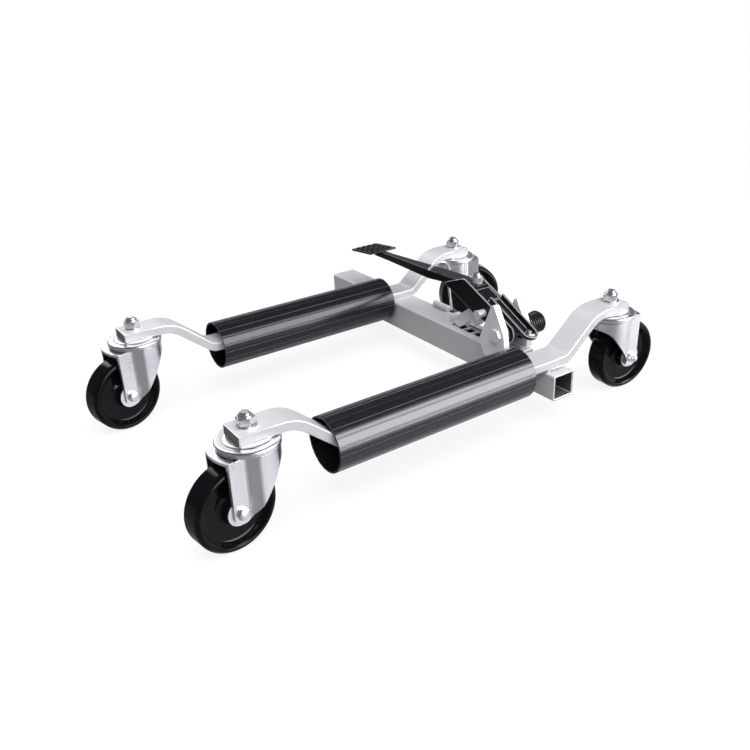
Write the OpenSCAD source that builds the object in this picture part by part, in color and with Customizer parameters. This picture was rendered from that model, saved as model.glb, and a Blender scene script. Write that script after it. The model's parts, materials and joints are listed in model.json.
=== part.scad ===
// Vehicle positioning jack: a wheel dolly with two roller arms on four swivel casters.
// The near arm slides out of the far arm's cross tube, and a foot pedal ratchets it back in.
// X runs along the cross tube towards the near arm, Y towards the rear casters, Z up.

/* [Cross tubes] */
// Outside width of the outer square tube
outer_size = 45; // [43:0.5:50]
// Wall of the outer tube
outer_wall = 3; // [2.5:0.25:4]
// Length of the outer tube
outer_len = 473; // [440:1:500]
// How far the outer tube stands out past the far arm's centre line
outer_overhang = 167; // [120:1:200]
// Clearance all round between the two tubes
tube_gap = 0.5; // [0.35:0.05:1]
// Wall of the inner tube
inner_wall = 3; // [2.5:0.25:4]
// Length of the inner tube
inner_len = 546; // [500:1:600]
// How far the inner tube stands out past the near arm's centre line
inner_overhang = 35; // [24:0.5:40]
// Outer corner radius of both tubes
tube_corner = 3; // [2:0.25:4]
// Pitch of the rack windows in the inner tube
rack_pitch = 20; // [18:0.5:24]
// Length of one rack window along the tube
rack_window = 14; // [10:0.5:15]
// Width of one rack window across the tube
rack_width = 16; // [12:0.5:20]
// Number of rack windows
rack_count = 20; // [10:1:20]
// Distance from the inner tube's hidden end to the first window
rack_start = 44; // [20:1:60]

/* [Roller arms] */
// Gap between the outer tube's near end and the near arm's bar
tube_end_gap = 26; // [18:0.5:160]
// Width of the flat bar
bar_w = 40; // [36:0.5:44]
// Thickness of the flat bar
bar_t = 12; // [10:0.5:14]
// Front end of the bar, ahead of the cross tube's centre line
arm_front = 475.8; // [470:0.5:500]
// Rear end of the bar, behind the cross tube's centre line
arm_rear = 143.3; // [138:0.5:165]
// Height that each end of the bar is cranked up
crank_rise = 48.3; // [40:0.5:56]
// Run of each cranked slope along the bar
crank_run = 58; // [52:0.5:62]
// Foot of the front crank, ahead of the cross tube
crank_front = 348.2; // [345:0.5:352]
// Foot of the rear crank, behind the cross tube
crank_rear = 22; // [21:0.5:26]
// Centre line radius of the bend at the foot of a crank
bend_foot_r = 20; // [16:1:24]
// Centre line radius of the bend at the top of a crank
bend_top_r = 48; // [30:1:54]
// Distance of a caster's swivel axis from the end of its bar
swivel_edge = 18.5; // [18:0.5:24]

/* [Rollers] */
// Outside diameter of a roller
roller_d = 71; // [69:0.5:74]
// Wall of a roller
roller_wall = 2.5; // [2:0.25:3]
// Length of a roller
roller_len = 309; // [290:1:312]
// Front end of the near roller, ahead of the cross tube
near_roller_front = 362.7; // [360:0.1:363]
// Front end of the far roller, ahead of the cross tube
far_roller_front = 338.2; // [336:0.1:348]
// Drop of a roller's axis below the bar's centre
roller_drop = 5; // [3:0.25:5.5]
// Number of fine grooves along a roller
groove_count = 20; // [8:1:32]
// Width of one roller groove
groove_w = 1.6; // [1:0.1:2.5]
// Depth of one roller groove
groove_depth = 0.7; // [0.4:0.1:1]
// Length of a hub bush inside a roller
hub_len = 24; // [16:1:30]
// Depth of a hub bush behind the roller's end
hub_inset = 34; // [30:1:50]
// Radial clearance of every running fit
running_gap = 0.1; // [0.05:0.01:0.1]

/* [Casters] */
// Radius of a caster wheel
wheel_r = 53; // [50:0.5:56]
// Width of a caster wheel
wheel_w = 30; // [26:0.5:31]
// Distance of the axle behind the swivel axis
trail = 31; // [29:0.1:34]
// Clear height between the wheel and the fork's crown
crown_gap = 9.5; // [8.5:0.5:13]
// Inside width between the fork's legs
fork_gap = 38; // [38:0.5:40]
// Thickness of the fork's sheet
fork_t = 3.5; // [3:0.25:4]
// Height from the crown's top to the bar
race_h = 9.5; // [9.2:0.1:11]
// Diameter of the swivel race
race_d = 74; // [72:0.5:78]
// Diameter of the raised middle of the swivel race
race_dome_d = 55; // [48:0.5:58]
// Number of balls in a swivel race
ball_count = 18; // [12:1:24]
// Diameter of a race ball
ball_d = 5; // [4:0.25:5]
// Diameter of the swivel stud
stud_d = 12; // [10:0.5:12]
// Width across the flats of the stud's nut
stud_nut_af = 19; // [18:0.5:21]
// Diameter of the axle bolt
axle_d = 8; // [6:0.5:9]
// Diameter of the axle bolt's domed head
axle_head_d = 15; // [13:0.5:17]
// Turn of the near front caster's axle from the cross tube's direction
near_front_turn = 8.5; // [-30:0.5:30]
// Turn of the far front caster's axle
far_front_turn = 13.3; // [-30:0.5:30]
// Turn of the near rear caster's axle
near_rear_turn = -4.4; // [-30:0.5:30]
// Turn of the far rear caster's axle
far_rear_turn = -23; // [-30:0.5:30]

/* [Mechanism] */
// Distance of the pivot bolt from the outer tube's near end
pivot_setback = 20; // [18:0.5:30]
// Height of the pivot bolt above the outer tube's top
pivot_rise = 27.8; // [26:0.1:30]
// Diameter of the pivot bolt
pivot_d = 12; // [10:0.5:12]
// Thickness of a gusset plate
gusset_t = 10; // [8:0.5:11]
// Outside width of the pedal bracket
bracket_w = 32; // [30:0.5:33]
// Thickness of the bracket's and the release lever's sheet
sheet_t = 3; // [2.5:0.25:3.25]
// Clearance between the bracket's webs and the release lever
lever_gap = 0.3; // [0.3:0.05:0.5]
// Diameter of the drive pawl's pin
pin_d = 10; // [8:0.5:10]
// Thickness of the drive pawl
pawl_t = 16; // [12:0.5:18]
// Width of the pedal arm at the foot pad
arm_tip_w = 12; // [10:0.5:16]
// Length of the foot pad along the arm
pad_len = 58; // [52:1:64]
// Width of the foot pad
pad_w = 53; // [46:1:54]
// Thickness of the foot pad's plate
pad_t = 3; // [2.5:0.25:4]
// Slope of the foot pad in degrees
pad_tilt = 5.7; // [2:0.1:6]
// Diameter of the return spring's wire
spring_wire = 3.2; // [2.5:0.1:3.2]
// Outside diameter of the return spring
spring_d = 30; // [29:0.5:32]
// Turns of the return spring
spring_turns = 5; // [4:1:6]
// Diameter of the hold-down hook's wire
hook_wire = 4; // [3:0.25:4]
// Outside diameter of the barrel that carries the hook
barrel_d = 10; // [8:0.5:11]
// Length of that barrel
barrel_len = 34; // [24:1:40]

/* [Hidden] */
$fn = 48;
steel = [0.74, 0.75, 0.77];
zinc = [0.86, 0.87, 0.88];
black = [0.08, 0.08, 0.09];
seat_gap = 0.3;

// Heights, from the floor up to the arms
crown_under_z = 2 * wheel_r + crown_gap;
crown_top_z = crown_under_z + fork_t;
bar_end_under_z = crown_top_z + race_h;
bar_end_z = bar_end_under_z + bar_t / 2;
bar_z = bar_end_z - crank_rise;
tube_top_z = bar_z - bar_t / 2;
tube_z = tube_top_z - outer_size / 2;
inner_size = outer_size - 2 * outer_wall - 2 * tube_gap;
inner_top_z = tube_z + inner_size / 2;
pivot_z = tube_top_z + pivot_rise;
roller_z = bar_z - roller_drop;
roller_bore_r = roller_d / 2 - roller_wall;

// Places along the cross tube and along the arms
arm_spread = outer_len - outer_overhang + tube_end_gap + bar_w / 2;
arm_x = arm_spread / 2;
outer_far_x = -arm_x - outer_overhang;
outer_near_x = outer_far_x + outer_len;
inner_near_x = arm_x + inner_overhang;
inner_far_x = inner_near_x - inner_len;
pivot_x = outer_near_x - pivot_setback;
front_swivel_y = -arm_front + swivel_edge;
rear_swivel_y = arm_rear - swivel_edge;
crank_angle = atan(crank_rise / crank_run);
crank_shift = bar_t / 2 * tan(crank_angle / 2);

// Caster details
leg_v = fork_gap / 2;
leg_tab_r = 12.5;
leg_tab = [trail - 1.5, wheel_r - 1.5];
crown_r = race_d / 2 - 1.5;
crown_nose_u = leg_tab.x + leg_tab_r + 3.5;
crown_nose_r = 60;
flare_start_u = 22;
flare_end_u = 8;
skirt_h = 10.5;
leg_knee = [-22, crown_top_z - 15.5];
race_t = 2.5;
race_step = 1.5;
ball_ring_r = race_d / 2 - 6;
stud_head_d = 24;
stud_head_h = 5;
washer_t = 2.2;
washer_d = 25;
nut_h = 10;
nut_collar_h = 3;
stud_proud = 2.5;
tread_half = wheel_w / 2 - 4.5;
bush_flange_d = 33;
bush_flange_t = 2;
bush_d = 13;
axle_head_h = 5.9;
axle_nut_af = 13;
axle_nut_h = 6.5;
axle_proud = 3;

// Mechanism details
gusset_in_y = outer_size / 2;
gusset_out_y = gusset_in_y + gusset_t;
web_out_y = bracket_w / 2;
far_gusset_in_y = web_out_y + seat_gap;
far_gusset_out_y = far_gusset_in_y + gusset_t;
web_in_y = web_out_y - sheet_t;
lever_out_y = web_in_y - lever_gap;
lever_in_y = lever_out_y - sheet_t;
pin_x = pivot_x - 46;
pin_z = pivot_z + 16.5;
pawl_gap = 0.4;
slot_half = 11;
slot_far_x = pivot_x - 127;
slot_near_x = pivot_x + 10;
pivot_head_h = 5.5;
pivot_nut_af = 18;
pivot_nut_h = 9;
pivot_washer_t = 2;
spring_r = (spring_d - spring_wire) / 2;
spring_turn_gap = 0.9;
spring_end_gap = 0.7;
spring_foot_depth = 4;
spring_pitch = spring_wire + spring_turn_gap;
spring_y = far_gusset_out_y + spring_wire / 2 + spring_end_gap;
spring_hole = [-18, 5];
barrel_x = pivot_x - 204;
barrel_y = outer_size / 2 - 3;
barrel_z = tube_top_z + barrel_d / 2;

// The model's origin is on the floor, under the middle of the whole jack
function wheel_reach(turn) = (trail + wheel_r) * cos(turn) + tread_half * sin(abs(turn));
front_y = front_swivel_y - max(wheel_reach(near_front_turn), wheel_reach(far_front_turn));
rear_y = rear_swivel_y + max(wheel_reach(near_rear_turn), wheel_reach(far_rear_turn));
near_x = arm_x + max(race_d / 2, roller_d / 2, inner_overhang);
mid = [(outer_far_x + near_x) / 2, (front_y + rear_y) / 2, 0];

// Points of the arc that rounds corner b of a-b-c with radius r
function unit(v) = v / norm(v);
function short_way(a) = a > 180 ? a - 360 : a < -180 ? a + 360 : a;
function corner(a, b, c, r, n) = r == 0 ? [b] :
    let (u = unit(a - b), v = unit(c - b), half = acos(u * v) / 2,
        p = b + u * r / tan(half), q = b + v * r / tan(half), m = b + unit(u + v) * r / sin(half),
        from = atan2(p.y - m.y, p.x - m.x),
        turn = short_way(atan2(q.y - m.y, q.x - m.x) - from))
    [for (i = [0:n]) m + r * [cos(from + turn * i / n), sin(from + turn * i / n)]];

// Outline with rounded corners, from points [x, y, radius]
function rounded(pts, n = 5) = let (last = len(pts))
    [for (i = [0:last - 1])
        let (a = pts[(i + last - 1) % last], b = pts[i], c = pts[(i + 1) % last])
        each corner([a.x, a.y], [b.x, b.y], [c.x, c.y], b.z, n)];

function arc(centre, r, from, to, n) =
    [for (i = [0:n]) let (a = from + (to - from) * i / n) centre + r * [cos(a), sin(a)]];
function curve(a, b, c, n) =
    [for (i = [0:n]) let (t = i / n) (1 - t) * (1 - t) * a + 2 * t * (1 - t) * b + t * t * c];
function mirrored(pts) = [for (i = [len(pts) - 1:-1:0]) [pts[i].x, -pts[i].y]];

// Smooth curve through points p, n steps between neighbours
function blend4(a, b, c, d, t) = 0.5 * ((2 * b) + (c - a) * t + (2 * a - 5 * b + 4 * c - d) * t * t
    + (3 * b - a - 3 * c + d) * t * t * t);
function spline(p, n) = let (last = len(p) - 1) concat([for (i = [0:last - 1]) for (k = [0:n - 1])
    blend4(p[max(i - 1, 0)], p[i], p[i + 1], p[min(i + 2, last)], k / n)], [p[last]]);

// Round wire of radius r swept along a path of points
function square_to(u, t) = unit(u - (u * t) * t);
function along(path, i) = unit(path[min(i + 1, len(path) - 1)] - path[max(i - 1, 0)]);
function wire_sides(path, seed) =
    [for (i = 0, u = square_to(seed, along(path, 0)); i < len(path);
        i = i + 1, u = i < len(path) ? square_to(u, along(path, i)) : u) u];
module wire(path, r, sides, seed) {
    u = wire_sides(path, seed);
    last = len(path) - 1;
    points = [for (i = [0:last]) for (k = [0:sides - 1]) let (a = 360 * k / sides, t = along(path, i))
        path[i] + r * (cos(a) * u[i] + sin(a) * cross(t, u[i]))];
    skin = [for (i = [0:last - 1]) for (k = [0:sides - 1])
        let (p = i * sides + k, q = i * sides + (k + 1) % sides)
        each [[p, p + sides, q], [q, p + sides, q + sides]]];
    ends = [for (k = [1:sides - 2]) each [[0, k, k + 1],
        [last * sides, last * sides + k + 1, last * sides + k]]];
    polyhedron(points, concat(skin, ends));
}

// Round bar along Y, a washer, and hexagonal nuts and heads along Z
module y_rod(r, from, to) {
    translate([0, from, 0]) rotate([-90, 0, 0]) cylinder(r = r, h = to - from);
}
module ring(outer_d, bore_d, h) {
    difference() {
        cylinder(d = outer_d, h = h);
        translate([0, 0, -1]) cylinder(d = bore_d, h = h + 2);
    }
}
module hex(af, h) {
    bevel = af * 0.07;
    intersection() {
        cylinder(d = af / cos(30), h = h, $fn = 6);
        rotate_extrude() polygon([[0, 0], [af / 2, 0], [af / 2 + bevel, bevel * 0.6],
            [af / 2 + bevel, h - bevel * 0.6], [af / 2, h], [0, h]]);
    }
}
module lock_nut(af, h, collar_h, bore_d) {
    difference() {
        union() {
            hex(af, h);
            translate([0, 0, h - 0.5]) rotate_extrude() polygon([[0, 0], [af * 0.44, 0],
                [af * 0.42, collar_h - 0.6], [af * 0.36, collar_h + 0.5], [0, collar_h + 0.5]]);
        }
        translate([0, 0, -1]) cylinder(d = bore_d, h = h + collar_h + 2);
    }
}

// Places: the whole jack's origin, one caster, and an arm
module placed() { translate(-mid) children(); }
module at_caster(side, end, turn) {
    translate([side * arm_x, end < 0 ? front_swivel_y : rear_swivel_y, 0])
        rotate(turn + 90 * end) children();
}
module at_swivels(side) {
    for (y = [front_swivel_y, rear_swivel_y]) translate([side * arm_x, y, 0]) children();
}
module at_axle() { translate([trail, 0, wheel_r]) rotate([-90, 0, 0]) children(); }
module side_plate(pts, from_y, to_y) {
    translate([0, to_y, 0]) rotate([90, 0, 0]) linear_extrude(to_y - from_y) polygon(pts);
}
module at_pivot() { translate([pivot_x, 0, pivot_z]) children(); }

module square_tube(size, wall, len) {
    clear = size - 2 * wall;
    corners = [[-1, -1], [1, -1], [1, 1], [-1, 1]];
    outside = rounded([for (c = corners) [c.x * size / 2, c.y * size / 2, tube_corner]]);
    inside = [for (c = corners) [c.x * clear / 2, c.y * clear / 2]];
    rotate([90, 0, 90]) linear_extrude(len) difference() {
        polygon(outside);
        polygon(inside);
    }
}

module outer_tube() {
    color(steel) placed() difference() {
        translate([outer_far_x, 0, tube_z]) square_tube(outer_size, outer_wall, outer_len);
        translate([slot_far_x, -slot_half, tube_top_z - outer_wall - 1])
            cube([slot_near_x - slot_far_x, 2 * slot_half, outer_wall + 2]);
    }
}

module inner_tube() {
    color(steel) placed() difference() {
        translate([inner_far_x, 0, tube_z]) square_tube(inner_size, inner_wall, inner_len);
        for (i = [0:rack_count - 1])
            translate([inner_far_x + rack_start + i * rack_pitch, -rack_width / 2, inner_top_z - inner_wall])
                translate([0, 0, -1]) cube([rack_window, rack_width, inner_wall + 2]);
    }
}

// Flat bar cranked up at both ends, with a hole for each caster's stud
module cranked_bar(side) {
    lo = bar_z;
    hi = bar_end_z;
    half = bar_t / 2;
    front_top = -crank_front - crank_run;
    rear_top = crank_rear + crank_run;
    outline = [
        [-arm_front, hi + half, 0],
        [front_top + crank_shift, hi + half, bend_top_r + half],
        [-crank_front + crank_shift, lo + half, bend_foot_r - half],
        [crank_rear - crank_shift, lo + half, bend_foot_r - half],
        [rear_top - crank_shift, hi + half, bend_top_r + half],
        [arm_rear, hi + half, 0],
        [arm_rear, hi - half, 0],
        [rear_top + crank_shift, hi - half, bend_top_r - half],
        [crank_rear + crank_shift, lo - half, bend_foot_r + half],
        [-crank_front - crank_shift, lo - half, bend_foot_r + half],
        [front_top - crank_shift, hi - half, bend_top_r - half],
        [-arm_front, hi - half, 0]];
    difference() {
        translate([side * arm_x - bar_w / 2, 0, 0]) rotate([90, 0, 90])
            linear_extrude(bar_w) polygon(rounded(outline, 8));
        at_swivels(side) translate([0, 0, bar_end_under_z - 1])
            cylinder(d = stud_d + 2 * running_gap, h = bar_t + 2);
    }
}
module far_arm_bar() { color(steel) placed() cranked_bar(-1); }
module near_arm_bar() { color(steel) placed() cranked_bar(1); }

module arm_packer() {
    color(steel) placed() translate([arm_x - bar_w / 2, -inner_size / 2 + tube_corner, inner_top_z])
        cube([bar_w, inner_size - 2 * tube_corner, tube_top_z - inner_top_z]);
}

// Gusset plates that carry the pivot bolt: the near one is welded to the outer tube's side,
// the far one stands on its top. A plate's outline is drawn from a point near the pivot.
module gusset_plate(from_y, centre, foot_z) {
    outline = rounded([
        [centre.x - 13, centre.y + 41.5, 2],
        [centre.x - 7.5, centre.y + 41.5, 2],
        [centre.x + 13, centre.y + 6, 8],
        [centre.x + 16, centre.y - 14, 6],
        [centre.x + 16, foot_z, 0],
        [centre.x - 26, foot_z, 0],
        [centre.x - 37, centre.y - 16, 6]]);
    difference() {
        side_plate(outline, from_y, from_y + gusset_t);
        at_pivot() y_rod(pivot_d / 2 + running_gap, from_y - 1, from_y + gusset_t + 1);
    }
}
module near_gusset_plate() {
    color(steel) placed() gusset_plate(-gusset_out_y, [pivot_x, pivot_z], tube_top_z - 10);
}
module far_gusset_plate() {
    color(steel) placed() difference() {
        gusset_plate(far_gusset_in_y, [pivot_x - 4.4, pivot_z - 2.3], tube_top_z);
        at_pivot() translate([spring_hole.x, 0, spring_hole.y])
            y_rod(spring_wire / 2 + seat_gap, far_gusset_in_y - 1, far_gusset_out_y + 1);
    }
}

module pivot_bolt() {
    bolt_end = far_gusset_out_y + pivot_washer_t + pivot_nut_h + nut_collar_h + stud_proud;
    color(zinc) placed() at_pivot() {
        y_rod(pivot_d / 2, -gusset_out_y, bolt_end);
        translate([0, -gusset_out_y, 0]) rotate([90, 0, 0]) hex(pivot_nut_af, pivot_head_h);
    }
}
module pivot_nut() {
    color(zinc) placed() at_pivot() translate([0, far_gusset_out_y + pivot_washer_t, 0]) rotate([-90, 0, 0])
        lock_nut(pivot_nut_af, pivot_nut_h, nut_collar_h, pivot_d + 2 * running_gap);
}

// A spacer tube beside the bracket's near web, and a washer under the nut
module pivot_spacers() {
    space = gusset_in_y - web_out_y - 2 * seat_gap;
    color(zinc) placed() at_pivot() {
        translate([0, -web_out_y - seat_gap, 0]) rotate([90, 0, 0])
            ring(20, pivot_d + 2 * running_gap, space);
        translate([0, far_gusset_out_y, 0]) rotate([-90, 0, 0])
            ring(20, pivot_d + 2 * running_gap, pivot_washer_t);
    }
}

module pawl_stop() {
    color(steel) placed() translate([slot_far_x - 6, -slot_half, tube_top_z]) cube([4, 2 * slot_half, 14]);
}

module hook_barrel() {
    color(steel) placed() translate([barrel_x, barrel_y, barrel_z]) rotate([0, 90, 0])
        ring(barrel_d, hook_wire + 2 * running_gap, barrel_len);
}

// Torsion spring, drawn from the pivot: a leg under the lever, the coil, and a foot in the far gusset
function spring_coil(i) = let (a = 45 * i)
    [spring_r * cos(a), spring_y + spring_pitch * i / 8, spring_r * sin(a)];
spring_steps = 8 * spring_turns + 2;
spring_last_y = spring_y + spring_pitch * spring_steps / 8;
spring_leg = [[34, 3, -1.5], [34, 8, -1.5], [33, 12, -2.4], [29, 16, -5], [24, 22, -8],
    [20, spring_y - 1.6, -9], [spring_r + 2.6, spring_y, -8], [spring_r, spring_y, -4],
    [spring_r, spring_y, 0]];
spring_foot = [[0, spring_last_y, spring_r], [-8, spring_last_y, spring_r], [-14, spring_last_y - 2, 10],
    [spring_hole.x + 0.5, spring_last_y - 6, spring_hole.y + 1],
    [spring_hole.x, spring_last_y - 10, spring_hole.y],
    [spring_hole.x, far_gusset_out_y - spring_foot_depth, spring_hole.y]];
spring_path = [for (p = concat(spline(spring_leg, 2), [for (i = [1:spring_steps - 1]) spring_coil(i)],
    spline(spring_foot, 2))) [pivot_x, 0, pivot_z] + p];

// Least gap between two stretches of the spring's wire that lie over half a turn apart
spring_least_gap = min([for (i = [0:len(spring_path) - 1]) for (k = [i + 5:1:len(spring_path) - 1])
    norm(spring_path[i] - spring_path[k])]) - spring_wire;
echo(spring_least_gap = spring_least_gap);
module return_spring() {
    color(black) placed() wire(spring_path, spring_wire / 2, 6, [1, 0, 0]);
}

// Rollers and the bushes on which they turn
module roller(side, front) {
    bite = roller_d / 2 - groove_depth;
    translate([side * arm_x, -front + roller_len, roller_z]) rotate([90, 0, 0]) linear_extrude(roller_len)
        difference() {
            circle(d = roller_d, $fn = 96);
            circle(r = roller_bore_r, $fn = 96);
            for (i = [0:groove_count - 1]) rotate(360 * i / groove_count)
                translate([bite, -groove_w / 2]) square([groove_depth + 1, groove_w]);
        }
}
module roller_hubs(side, front) {
    for (y = [-front + hub_inset, -front + roller_len - hub_inset - hub_len])
        difference() {
            translate([side * arm_x, 0, roller_z]) y_rod(roller_bore_r - running_gap, y, y + hub_len);
            translate([side * arm_x - bar_w / 2, y - 1, bar_z - bar_t / 2])
                cube([bar_w, hub_len + 2, bar_t]);
        }
}
module far_roller() { color(black) placed() roller(-1, far_roller_front); }
module near_roller() { color(black) placed() roller(1, near_roller_front); }
module far_roller_hubs() { color(black) placed() roller_hubs(-1, far_roller_front); }
module near_roller_hubs() { color(black) placed() roller_hubs(1, near_roller_front); }

// Swivel: race plate, balls, stud, washer and nut at both ends of one arm
module race() {
    top = bar_end_under_z;
    flange = top - race_step;
    r = race_d / 2;
    dome = race_dome_d / 2;
    rim = top - race_h + 1.5;
    rotate_extrude($fn = 72) polygon(concat(
        [[stud_d / 2 + running_gap, top], [dome - 4, top]],
        curve([dome - 4, top], [dome, top], [dome + 1, flange], 4),
        curve([r - 3, flange], [r, flange], [r, flange - 3], 5),
        [[r, rim], [r - race_t, rim], [r - race_t, flange - race_t],
            [dome + 1 - race_t, flange - race_t], [dome - 2 - race_t, top - race_t],
            [stud_d / 2 + 6, top - race_t], [stud_d / 2 + 6, crown_top_z + seat_gap],
            [stud_d / 2 + running_gap, crown_top_z + seat_gap]]));
}
module race_balls() {
    for (i = [0:ball_count - 1]) rotate(360 * i / ball_count)
        translate([ball_ring_r, 0, crown_top_z + seat_gap + ball_d / 2]) sphere(d = ball_d, $fn = 24);
}
module swivel_stud() {
    top = bar_end_z + bar_t / 2 + washer_t + nut_h + nut_collar_h + stud_proud;
    head = crown_under_z - seat_gap - stud_head_h;
    rotate_extrude() polygon([[0, head], [stud_head_d / 2 - 1.5, head], [stud_head_d / 2, head + 1.5],
        [stud_head_d / 2, head + stud_head_h], [stud_d / 2, head + stud_head_h],
        [stud_d / 2, top - 1.2], [stud_d / 2 - 1.2, top], [0, top]]);
}
module far_swivel_races() { color(zinc) placed() at_swivels(-1) race(); }
module near_swivel_races() { color(zinc) placed() at_swivels(1) race(); }
module far_swivel_balls() { color(zinc) placed() at_swivels(-1) race_balls(); }
module near_swivel_balls() { color(zinc) placed() at_swivels(1) race_balls(); }
module far_swivel_studs() { color(zinc) placed() at_swivels(-1) swivel_stud(); }
module near_swivel_studs() { color(zinc) placed() at_swivels(1) swivel_stud(); }
module stud_washer() {
    translate([0, 0, bar_end_z + bar_t / 2]) ring(washer_d, stud_d + 2 * running_gap, washer_t);
}
module stud_nut() {
    translate([0, 0, bar_end_z + bar_t / 2 + washer_t])
        lock_nut(stud_nut_af, nut_h, nut_collar_h, stud_d + 2 * running_gap);
}
module far_stud_washers() { color(zinc) placed() at_swivels(-1) stud_washer(); }
module near_stud_washers() { color(zinc) placed() at_swivels(1) stud_washer(); }
module far_stud_nuts() { color(zinc) placed() at_swivels(-1) stud_nut(); }
module near_stud_nuts() { color(zinc) placed() at_swivels(1) stud_nut(); }

// Plan outline of the fork's pressed sheet, drawn in from its outside by inset
function fork_flank(inset) = let (v0 = leg_v + fork_t - inset, r = crown_r - inset,
        join = sqrt(r * r - flare_end_u * flare_end_u))
    concat(
        [for (i = [0:6]) let (t = i / 6, s = t * t * (3 - 2 * t))
            [flare_start_u + (flare_end_u - flare_start_u) * t, v0 + (join - v0) * s]],
        arc([0, 0], r, acos(flare_end_u / r) + 8, 180, 12));
function fork_nose(inset) = let (v0 = leg_v + fork_t - inset, r = crown_nose_r - inset,
        half = asin(v0 / r))
    arc([crown_nose_u - crown_nose_r, 0], r, 0, half, 4);
function fork_plan(inset) = let (top = concat(fork_nose(inset), fork_flank(inset)))
    concat(top, mirrored(top));
// Side outline of the fork: upright behind, a tab round the axle, a straight slope in front
leg_slope = let (to = leg_tab - leg_knee) atan2(to.y, to.x) - asin(leg_tab_r / norm(to));
fork_side = concat(
    [[-race_d, crown_top_z], [crown_nose_u + 1, crown_top_z], [crown_nose_u + 1, crown_under_z],
        [leg_tab.x + leg_tab_r, crown_under_z - 6]],
    arc(leg_tab, leg_tab_r, 0, leg_slope - 90, 10),
    curve(leg_knee + 8 * [cos(leg_slope), sin(leg_slope)], leg_knee, [-34, crown_top_z - skirt_h], 6),
    [[-race_d, crown_top_z - skirt_h]]);
module fork() {
    difference() {
        intersection() {
            linear_extrude(crown_top_z) polygon(fork_plan(0));
            translate([0, race_d, 0]) rotate([90, 0, 0]) linear_extrude(2 * race_d) polygon(fork_side);
        }
        linear_extrude(crown_under_z) polygon(fork_plan(fork_t));
        translate([crown_nose_u - 20, -leg_v, 0]) cube([40, fork_gap, crown_under_z]);
        translate([0, 0, crown_under_z - 1]) cylinder(d = stud_d + 2 * running_gap, h = fork_t + 2);
        at_axle() translate([0, 0, -race_d]) cylinder(d = axle_d + 2 * running_gap, h = 2 * race_d);
    }
}

// Wheel: crowned tread, dished sides and a hub, turned round its axle
module wheel() {
    rim = wheel_w / 2;
    web = 7;
    hub = leg_v - bush_flange_t - 2 * seat_gap;
    half = [[bush_d / 2 + running_gap, hub, 0], [16, hub, 1.5], [18.5, web + 1, 3], [24, web - 0.5, 6],
        [wheel_r - 13, web, 4], [wheel_r - 9, rim - 2, 3], [wheel_r - 7, rim, 1], [wheel_r - 3.5, rim, 2.5],
        [wheel_r, tread_half, 3]];
    back = [for (i = [len(half) - 1:-1:0]) [half[i].x, -half[i].y, half[i].z]];
    at_axle() rotate_extrude($fn = 96) polygon(rounded(concat(half, back), 4));
}
module bushes() {
    bore_d = axle_d + 2 * running_gap;
    for (side = [0, 1]) at_axle() mirror([0, 0, side]) {
        translate([0, 0, seat_gap / 2]) ring(bush_d, bore_d, leg_v - seat_gap / 2);
        translate([0, 0, leg_v - bush_flange_t]) ring(bush_flange_d, bore_d, bush_flange_t);
    }
}
module axle() {
    out = leg_v + fork_t;
    head = axle_head_d / 2;
    at_axle() rotate_extrude() polygon(concat(
        [[0, -out - axle_nut_h - axle_proud], [axle_d / 2 - 1, -out - axle_nut_h - axle_proud],
            [axle_d / 2, -out - axle_nut_h - axle_proud + 1], [axle_d / 2, out], [head, out]],
        curve([head, out + 1.5], [head, out + axle_head_h], [0, out + axle_head_h], 6)));
}
module axle_nut() {
    at_axle() rotate([180, 0, 0]) translate([0, 0, leg_v + fork_t])
        lock_nut(axle_nut_af, axle_nut_h - 1.5, 1.5, axle_d + 2 * running_gap);
}
module near_front() { placed() at_caster(1, -1, near_front_turn) children(); }
module far_front() { placed() at_caster(-1, -1, far_front_turn) children(); }
module near_rear() { placed() at_caster(1, 1, near_rear_turn) children(); }
module far_rear() { placed() at_caster(-1, 1, far_rear_turn) children(); }
module near_front_fork() { color(zinc) near_front() fork(); }
module near_front_wheel() { color(black) near_front() wheel(); }
module near_front_bushes() { color(zinc) near_front() bushes(); }
module near_front_axle() { color(zinc) near_front() axle(); }
module near_front_axle_nut() { color(zinc) near_front() axle_nut(); }
module far_front_fork() { color(zinc) far_front() fork(); }
module far_front_wheel() { color(black) far_front() wheel(); }
module far_front_bushes() { color(zinc) far_front() bushes(); }
module far_front_axle() { color(zinc) far_front() axle(); }
module far_front_axle_nut() { color(zinc) far_front() axle_nut(); }
module near_rear_fork() { color(zinc) near_rear() fork(); }
module near_rear_wheel() { color(black) near_rear() wheel(); }
module near_rear_bushes() { color(zinc) near_rear() bushes(); }
module near_rear_axle() { color(zinc) near_rear() axle(); }
module near_rear_axle_nut() { color(zinc) near_rear() axle_nut(); }
module far_rear_fork() { color(zinc) far_rear() fork(); }
module far_rear_wheel() { color(black) far_rear() wheel(); }
module far_rear_bushes() { color(zinc) far_rear() bushes(); }
module far_rear_axle() { color(zinc) far_rear() axle(); }
module far_rear_axle_nut() { color(zinc) far_rear() axle_nut(); }

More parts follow.
